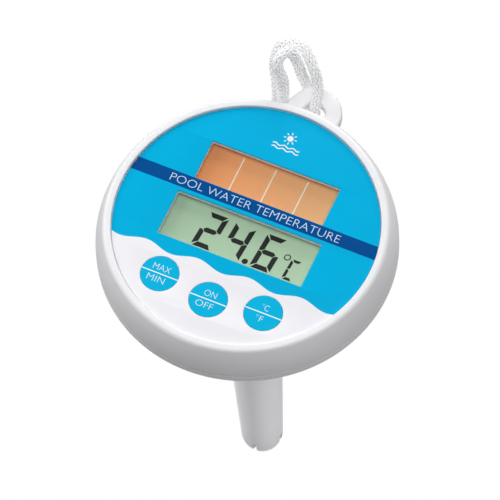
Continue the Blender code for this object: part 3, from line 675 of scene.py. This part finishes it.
def probe(material):
    """The tapered sleeve with its flange, rounded end and four slots."""
    wall = 2.0
    dome = FACE_Z - DOME_HEIGHT * math.sin(math.acos(TIP_FLAT_R / DOME_R))
    slope = (DOME_R - PROBE_TOP_R) / (dome - PROBE_TOP)
    cavity = arc((0, dome), (DOME_R - wall, DOME_HEIGHT - 2.6), -90, 0, 12)
    cavity += [(PROBE_TOP_R + slope * (145 - PROBE_TOP) - wall, 145), (9.2, 38), (7, 34)]
    top = COLLAR_END + GAP
    corners = [(7, NECK_TOP, 0), (NECK_R, NECK_TOP, 0.4), (NECK_R, top, 0)]
    corners += [(14.4, top, 0.35), (14.4, top + 1.4, 0.5)]
    fillet = arc((PROBE_TOP_R + 1.8, PROBE_TOP + 0.2), (1.8, 1.8), 110, 180, 8)
    corners += [(*point, 0) for point in fillet]
    tip = math.degrees(math.acos(TIP_FLAT_R / DOME_R))
    end = arc((0, dome), (DOME_R, DOME_HEIGHT), 0, -tip, 24)
    profile = [*cavity, *eased(corners, False), *end, (0, FACE_Z)]
    sleeve = lathe("probe_sleeve", profile, material, 128, ring=False)
    cutters = []
    straight = SLOT_HEIGHT - SLOT_WIDTH / 2
    for quarter in range(4):
        outline = [(SLOT_WIDTH / 2, -2.0)]
        for i in range(17):
            angle = math.pi * i / 16
            outline.append((SLOT_WIDTH / 2 * math.cos(angle), straight + SLOT_WIDTH / 2 * math.sin(angle)))
        outline.append((-SLOT_WIDTH / 2, -2.0))
        bm = bmesh.new()
        near = [bm.verts.new(Vector((SLOT_FROM_AXIS, across, up)) * MM) for across, up in outline]
        sides = bmesh.ops.extrude_face_region(bm, geom=[bm.faces.new(near)])
        far = [item for item in sides["geom"] if isinstance(item, bmesh.types.BMVert)]
        bmesh.ops.translate(bm, verts=far, vec=(2 * DOME_R * MM, 0, 0))
        bm.transform(Matrix.Rotation(quarter * math.pi / 2, 4, "Z"))
        cutters.append(from_bmesh("slot", bm))
    combine(sleeve, cutters, "DIFFERENCE")
    return dress(sleeve, "case", ["probe_tube"])


# Face


def film(material):
    outlines = [circle((0, 0), FILM_R, TURN)]
    outlines += [rounded_rectangle(*SOLAR, 0.5), rounded_rectangle(*DISPLAY, 0.5)]
    outlines += [circle(centre, KEY_HOLE_R, 64) for centre in BUTTONS.values()]
    plate = flat_plate("printed_face", outlines, 0.0, 0.5, 0.08, material)
    return dress(plate, "case", ["face_film"])


def lettering(name, words, size, centre, material, body, thin=0.0):
    """Raised lettering that fills size = (width, height) round a centre on the face."""
    curve = bpy.data.curves.new(name, "FONT")
    curve.body = words
    curve.size = 1.0
    curve.offset = -thin
    curve.resolution_u = 6
    curve.extrude = 0.5
    made = curve_to_mesh(bpy.data.objects.new(name, curve), material)
    points = np.array([vert.co for vert in made.data.vertices])
    low, high = points.min(0), points.max(0)
    scale = [size[0] * MM / (high[0] - low[0]), size[1] * MM / (high[1] - low[1]), INK * 1.5 * MM]
    middle = (low + high) / 2
    move = Matrix.Translation((centre[0] * MM, centre[1] * MM, (FACE_Z + INK / 4) * MM))
    made.data.transform(move @ Matrix.Diagonal((*scale, 1)) @ Matrix.Translation(-Vector(middle)))
    return dress(made, body)


def key(label, centre, blue, white):
    """A key flush with the face, with its two labels."""
    corners = [(0, 0.0, 0), (KEY_R - 0.8, 0.02, 0), (KEY_R, 0.05, 0.2), (KEY_R, 3.6, 0)]
    corners += [(8.3, 3.6, 0.2), (8.3, 4.5, 0.2), (2.2, 4.5, 0), (2.2, 5.1, 0.2), (0, 5.1, 0)]
    cap = lathe("key_" + label, eased(corners, False), blue, 96, ring=False)
    cap.location = (centre[0] * MM, centre[1] * MM, 0)
    body = f"button_{label}_body"
    dress(cap, body, ["button_" + label])
    for words, side in zip(LABELS[label], (1, -1)):
        size = (LABEL_WIDTH[words], LABEL_HEIGHT)
        across = LABEL_SHIFT[0] + side * LABEL_SHIFT[1]
        place = (centre[0] + across, centre[1] + side * LABEL_FROM_LINE)
        lettering(f"label_{label}_{side + 1}", words, size, place, white, body, FINE_STROKE)


def boot(label, centre, material):
    """The silicone sleeve under a key."""
    low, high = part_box("boot_" + label)
    foot, top = FACE_Z - low.z / MM, FACE_Z - high.z / MM
    outer = (high.x - low.x) / 2 / MM
    inner = outer - 0.8
    height = foot - top
    profile = [(inner, top, 0.15), (outer - 0.1, top, 0.15)]
    for share in (0.2, 0.4, 0.6, 0.8):
        swell = 0.0 if share in (0.4, 0.8) else 0.1
        profile.append((outer - 0.1 + swell, top + share * height, 0.1))
    profile += [(outer, foot, 0.1), (inner, foot, 0.1)]
    sleeve = lathe("sleeve_" + label, eased(profile), material, 64)
    sleeve.data.transform(Matrix.Translation((centre[0] * MM, centre[1] * MM, 0)))
    dress(sleeve, "case", ["boot_" + label])
    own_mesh(sleeve)


def pictogram(material):
    """A sun over two waves, above the solar window."""
    bm = bmesh.new()

    def sheet(points):
        base = [bm.verts.new((x * MM, y * MM, (FACE_Z - INK / 2) * MM)) for x, y in points]
        sides = bmesh.ops.extrude_face_region(bm, geom=[bm.faces.new(base)])
        raised = [item for item in sides["geom"] if isinstance(item, bmesh.types.BMVert)]
        bmesh.ops.translate(bm, verts=raised, vec=(0, 0, 1.5 * INK * MM))

    sheet(circle(SUN, SUN_R, 32))
    for ray in range(8):
        angle = math.tau * ray / 8
        along = Vector((math.cos(angle), math.sin(angle)))
        side = Vector((-along.y, along.x)) * RAY_HALF_WIDTH
        inner, outer = (Vector(SUN) + along * reach for reach in RAY_REACH)
        sheet([inner - side, outer - side, outer + side, inner + side])
    start, end = RIPPLE_SPAN
    for level in RIPPLE_LEVELS:
        upper = []
        lower = []
        for i in range(41):
            x = start + (end - start) * i / 40
            y = level + RIPPLE_HEIGHT * math.sin(math.tau * (x - start) / RIPPLE_LENGTH)
            upper.append((x, y + RIPPLE_HALF_WIDTH))
            lower.append((x, y - RIPPLE_HALF_WIDTH))
        sheet(upper + lower[::-1])
    return dress(from_bmesh("sun_mark", bm, material), "case")


# Display and solar cells


def segment_shapes(width, height, bar):
    """The seven bars of a digit, each as an outline from its lower left corner."""
    gap, half, mid = 0.28, bar / 2, height / 2
    cut, blunt = 0.15 * bar, 0.85 * bar
    top = [(gap + cut, height), (width - gap - cut, height), (width - gap - blunt, height - bar)]
    top += [(gap + blunt, height - bar)]
    side = [(0, mid + gap / 2), (0, height - gap - cut), (bar, height - bar - gap), (bar, mid + half)]
    side += [(half, mid + gap / 2)]
    bar_end = half + gap
    middle = [(bar_end, mid), (bar_end + half, mid + half), (width - bar_end - half, mid + half)]
    middle += [(width - bar_end, mid), (width - bar_end - half, mid - half), (bar_end + half, mid - half)]

    def mirror(points, across, up):
        turned = [(width - x if across else x, height - y if up else y) for x, y in points]
        return turned[::-1] if across != up else turned

    return {
        "a": top,
        "b": mirror(side, True, False),
        "c": mirror(side, True, True),
        "d": mirror(top, False, True),
        "e": mirror(side, False, True),
        "f": side,
        "g": middle,
    }


def display_digits(material):
    """The reading 24.6 and its unit as dark bars just above the panel."""
    slant = math.tan(math.radians(DIGIT_SLANT))
    base = DIGIT_BASE
    depth = FACE_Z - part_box("display_panel")[1].z / MM - BAR_LIFT
    bm = bmesh.new()

    def bar(points):
        lean = [(x + (y - base) * slant, y) for x, y in points]
        foot = [bm.verts.new((x * MM, y * MM, (FACE_Z - depth - BAR_THICK) * MM)) for x, y in lean]
        sides = bmesh.ops.extrude_face_region(bm, geom=[bm.faces.new(foot)])
        raised = [item for item in sides["geom"] if isinstance(item, bmesh.types.BMVert)]
        bmesh.ops.translate(bm, verts=raised, vec=(0, 0, BAR_THICK * MM))

    for bars, left in READING:
        shapes = segment_shapes(*DIGIT)
        for name in bars:
            bar([(left + x, base + y) for x, y in shapes[name]])
    shapes = segment_shapes(*UNIT)
    for name in "afed":
        bar([(UNIT_LEFT + x, base + y) for x, y in shapes[name]])
    bar(circle((POINT_X, base + POINT_R), POINT_R, 32))
    inner, outer = (circle(DEGREE, radius, 48) for radius in DEGREE_R)
    for i in range(48):
        j = (i + 1) % 48
        bar([outer[i], outer[j], inner[j], inner[i]])
    bmesh.ops.remove_doubles(bm, verts=bm.verts, dist=1e-7)
    return dress(from_bmesh("display_digits", bm, material), "case")


def cell_lines(material):
    """Bright contact lines between the four solar cells."""
    (x_mid, y_mid), (width, height) = SOLAR
    low, high = y_mid - height / 2 - 0.6, y_mid + height / 2 - 0.2
    for number in (-1, 0, 1):
        left = x_mid + number * width / 4 - CELL_LINE_HALF_WIDTH
        right = left + 2 * CELL_LINE_HALF_WIDTH
        outline = [(left, low), (right, low), (right, high), (left, high)]
        line = prism(f"cell_line_{number + 2}", outline, *CELL_LINE_DEPTH, material)
        dress(line, "case")


# Cord


def spline(points, per_span):
    """Catmull-Rom curve through points."""
    points = [np.array(p, float) for p in points]
    padded = [2 * points[0] - points[1], *points, 2 * points[-1] - points[-2]]
    path = []
    for a, b, c, d in zip(padded, padded[1:], padded[2:], padded[3:]):
        for i in range(per_span):
            t = i / per_span
            value = 2 * b + (c - a) * t + (2 * a - 5 * b + 4 * c - d) * t**2
            path.append((value + (3 * b - a - 3 * c + d) * t**3) / 2)
    path.append(points[-1])
    return np.array(path)


def even(path, step):
    """The same path with points an even step apart."""
    along = np.r_[0, np.cumsum(np.linalg.norm(np.diff(path, axis=0), axis=1))]
    count = int(round(along[-1] / step))
    places = np.linspace(0, along[-1], count + 1)
    return np.stack([np.interp(places, along, path[:, k]) for k in range(3)], 1), places


def carried_frames(path):
    """Tangent and two side directions at each point, carried along without twist."""
    tangent = np.gradient(path, axis=0)
    tangent /= np.linalg.norm(tangent, axis=1)[:, None]
    side = np.cross(tangent[0], (0.3, 0.5, 0.8))
    sides = []
    for direction in tangent:
        side = side - direction * (side @ direction)
        side = side / np.linalg.norm(side)
        sides.append(side)
    sides = np.array(sides)
    return tangent, sides, np.cross(tangent, sides)


def sweep(bm, layer, centre_line, outward, half_width, half_thick, around):
    """Sweep a flattened oval along a line; outward is the thin direction at each point."""
    tangent = np.gradient(centre_line, axis=0)
    tangent /= np.linalg.norm(tangent, axis=1)[:, None]
    across = np.cross(tangent, outward)
    across /= np.linalg.norm(across, axis=1)[:, None]
    normal = np.cross(across, tangent)
    angles = np.arange(around) * math.tau / around
    rows = []
    for place, wide, thin in zip(centre_line, across, normal):
        ring = []
        for angle in angles:
            offset = wide * half_width * math.cos(angle) + thin * half_thick * math.sin(angle)
            ring.append(bm.verts.new((place + offset) * MM))
        rows.append(ring)
    length = 0.0
    for i in range(len(rows) - 1):
        step = float(np.linalg.norm(centre_line[i + 1] - centre_line[i]))
        for k in range(around):
            m = (k + 1) % around
            face = bm.faces.new((rows[i][k], rows[i][m], rows[i + 1][m], rows[i + 1][k]))
            marks = ((length, k), (length, k + 1), (length + step, k + 1), (length + step, k))
            for loop, (u, v) in zip(face.loops, marks):
                loop[layer].uv = (u, v / around)
        length += step
    bm.faces.new(rows[0][::-1])
    bm.faces.new(rows[-1])


def braid(name, points, material, carriers=8, pitch=22.0):
    """A round braid of two opposite sets of strands that pass over and under in turn."""
    path, along = even(spline(points, 24), pitch / (2 * carriers) / 4)
    _, side, up = carried_frames(path)
    bm = bmesh.new()
    layer = bm.loops.layers.uv.new("strand")
    middle_r, lift = CORD_R - 0.45, 0.24
    for turn in (1, -1):
        wave = turn * np.cos(math.pi * along / (pitch / (2 * carriers)))
        radius = middle_r + lift * wave
        for strand in range(carriers):
            angle = turn * math.tau * along / pitch + math.tau * strand / carriers
            outward = side * np.cos(angle)[:, None] + up * np.sin(angle)[:, None]
            sweep(bm, layer, path + outward * radius[:, None], outward, 0.44, 0.24, 6)
    return from_bmesh(name, bm, material)


def tether(material):
    knot = np.array([KNOT[0], KNOT[1], FACE_Z - KNOT[2]])
    listed = CORD_RISE + CORD_OUTER_ARCH + CORD_WRAP + CORD_INNER_ARCH + CORD_FALL
    points = [np.array([x, y, FACE_Z - depth]) for x, y, depth in listed]
    cord = braid("braided_cord", points, material)
    dress(cord, "cord_body", ["tether_cord"])
    path, _ = even(spline(points, 12), 0.8)
    side = carried_frames(path)[1]
    bm = bmesh.new()
    layer = bm.loops.layers.uv.new("strand")
    sweep(bm, layer, path, side, CORD_R - 0.8, CORD_R - 0.8, 12)
    # The filling is grey rather than white: painted shade that shows as dark dots in the gaps between the
    # strands.
    core = from_bmesh("cord_core", bm, rubber("cord_filling_painted_shade", srgb(176, 177, 180)))
    dress(core, "cord_body")
    turns = []
    for i in range(40):
        angle = math.tau * i / 40 * 2
        swell = 2.6 + 1.0 * math.cos(1.5 * angle)
        turns.append(knot + [swell * math.cos(angle), swell * math.sin(angle), 1.5 * math.sin(1.5 * angle)])
    dress(braid("cord_knot", turns, material), "cord_body")


# Finishing the frame's own nodes


def nodes_named(*starts):
    return [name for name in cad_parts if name.startswith(starts)]


def finish_nodes():
    """Give every CAD node that still shows its own procedural material."""
    black = matt_plastic("black_moulding", srgb(34, 34, 36))
    seal = rubber("seal_rubber", srgb(22, 22, 23))
    steel = metal("steel", srgb(196, 196, 200))
    white = matt_plastic("white_moulding", srgb(228, 228, 229))
    finishes = {
        ("display_lens", "solar_lens"): clear_window(),
        ("display_panel",): display_panel(),
        ("solar_panel",): solar_cells(),
        ("display_holder", "cell_holder", "switch_body_"): black,
        ("display_connector",): rubber("connector_rubber", srgb(140, 142, 146)),
        ("case_gasket", "probe_seal", "sensor_seal"): seal,
        ("solar_pad",): rubber("foam", srgb(62, 62, 66)),
        ("circuit_board",): circuit_green(),
        ("case_screw_", "board_screw_", "cell_clip", "timing_crystal"): steel,
        ("backup_cell", "sensor_thimble"): metal("bright_steel", srgb(214, 214, 216), 0.18),
        ("plunger_", "chip_cover", "buffer_capacitor", "sensor_bead"): matt_plastic(
            "epoxy", srgb(24, 24, 25), 0.36
        ),
        ("solar_lead_positive",): rubber("red_wire", srgb(170, 26, 20)),
        ("solar_lead_negative", "sensor_cable"): rubber("black_wire", srgb(26, 26, 27)),
        ("screw_plug_", "sensor_connector", "sensor_carrier", "probe_nut"): white,
    }
    for starts, material in finishes.items():
        for name in nodes_named(*starts):
            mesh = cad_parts[name].data
            for index in range(len(mesh.materials)):
                mesh.materials[index] = material


# Stage


def soft_light(name, place, size, power):
    """A square soft box that faces the float."""
    data = bpy.data.lights.new(name, "AREA")
    data.size = size
    data.energy = power
    hang(name, data, place, SOFT_BOX_AIM)


def beam(name, place, power):
    """A narrow soft-edged beam that lights the probe and passes under the float."""
    data = bpy.data.lights.new(name, "SPOT")
    data.energy = power
    data.spot_size = math.radians(2 * BEAM_HALF_ANGLE)
    data.spot_blend = 0.6
    data.shadow_soft_size = 0.02
    hang(name, data, place, BEAM_AIM)


def hang(name, data, place, target):
    lamp = bpy.data.objects.new(name, data)
    lamp.location = place
    aim = Vector(target) - Vector(place)
    lamp.rotation_euler = aim.to_track_quat("-Z", "Y").to_euler()
    bpy.context.scene.collection.objects.link(lamp)


def white_backdrop():
    """Pure white to the camera and almost dark to everything else."""
    world = bpy.data.worlds.new("studio")
    bpy.context.scene.world = world
    world.use_nodes = True
    tree = world.node_tree
    background = tree.nodes["Background"]
    path = tree.nodes.new("ShaderNodeLightPath")
    strength = tree.nodes.new("ShaderNodeMapRange")
    strength.inputs["To Min"].default_value = WORLD_LEVEL
    strength.inputs["To Max"].default_value = 1.0
    tree.links.new(path.outputs["Is Camera Ray"], strength.inputs["Value"])
    tree.links.new(strength.outputs[0], background.inputs["Strength"])
    background.inputs["Color"].default_value = (1.0, 1.0, 1.0, 1.0)


def pale_floor():
    """A pale floor that is lit white to the camera and see-through from below."""
    shader = Shader("pale_floor")
    shader.set(Base_Color=shader.mix(shader.noise(3.0), srgb(213, 213, 213), srgb(208, 208, 209)))
    shader.set(Roughness=0.8)
    white = shader.node("ShaderNodeEmission")
    white.inputs["Color"].default_value = (1.0, 1.0, 1.0, 1.0)
    seen = shader.node("ShaderNodeLightPath").outputs["Is Camera Ray"]
    below = shader.node("ShaderNodeNewGeometry").outputs["Backfacing"]
    clear = shader.node("ShaderNodeBsdfTransparent")
    layers = shader.surface.outputs[0]
    for share, shown in ((seen, white.outputs[0]), (below, clear.outputs[0])):
        both = shader.node("ShaderNodeMixShader")
        shader.put(both.inputs[0], share)
        shader.put(both.inputs[1], layers)
        shader.put(both.inputs[2], shown)
        layers = both.outputs[0]
    shader.put(shader.output.inputs["Surface"], layers)
    bm = bmesh.new()
    bmesh.ops.create_circle(bm, cap_ends=True, segments=96, radius=6.0)
    floor = from_bmesh("floor", bm, shader.material)
    floor.location = (0, 0, FLOOR_LEVEL)


def studio():
    white_backdrop()
    pale_floor()
    for name, (place, size, power) in SOFT_BOXES.items():
        soft_light(name, place, size, power)
    for name, (place, power) in BEAMS.items():
        beam(name, place, power)


def camera():
    azimuth, elevation, roll = map(math.radians, (CAMERA_AZIMUTH, CAMERA_ELEVATION, CAMERA_ROLL))
    flat = math.cos(elevation)
    back = Vector((math.sin(azimuth) * flat, -math.cos(azimuth) * flat, math.sin(elevation)))
    right = (-back).cross(Vector((0, 0, 1))).normalized()
    up = right.cross(-back)
    rolled_right = right * math.cos(roll) + up * math.sin(roll)
    rolled_up = up * math.cos(roll) - right * math.sin(roll)
    data = bpy.data.cameras.new("camera")
    data.lens = CAMERA_LENS
    data.sensor_width = 36.0
    data.clip_end = 20.0
    shot = bpy.data.objects.new("camera", data)
    target = Vector((*CAMERA_TARGET, FACE_Z)) * MM
    turn = Matrix((rolled_right, rolled_up, back)).transposed().to_4x4()
    shot.matrix_world = Matrix.Translation(target + back * CAMERA_DISTANCE) @ turn
    bpy.context.scene.collection.objects.link(shot)
    bpy.context.scene.camera = shot
    bpy.context.scene.view_settings.view_transform = "Standard"


def build():
    white = case_plastic()
    upper_shell(white)
    lower_shell(white)
    probe(white)
    film(face_print())
    pale_ink = plain_ink("pale_ink", srgb(236, 243, 250))
    title_ink = plain_ink("title_ink", srgb(206, 228, 246))
    centre, size = TITLE_PLACE
    lettering("title", TITLE, size, centre, title_ink, "case", FINE_STROKE)
    pictogram(pale_ink)
    blue = key_print()
    silicone = rubber("silicone", srgb(140, 142, 146))
    for label, centre in BUTTONS.items():
        key(label, centre, blue, pale_ink)
        boot(label, centre, silicone)
    display_digits(plain_ink("display_dark", srgb(6, 7, 6), 0.6))
    cell_lines(plain_ink("cell_line", srgb(255, 244, 226)))
    tether(cord_fibre_painted_glow())
    finish_nodes()
    studio()
    camera()


build()
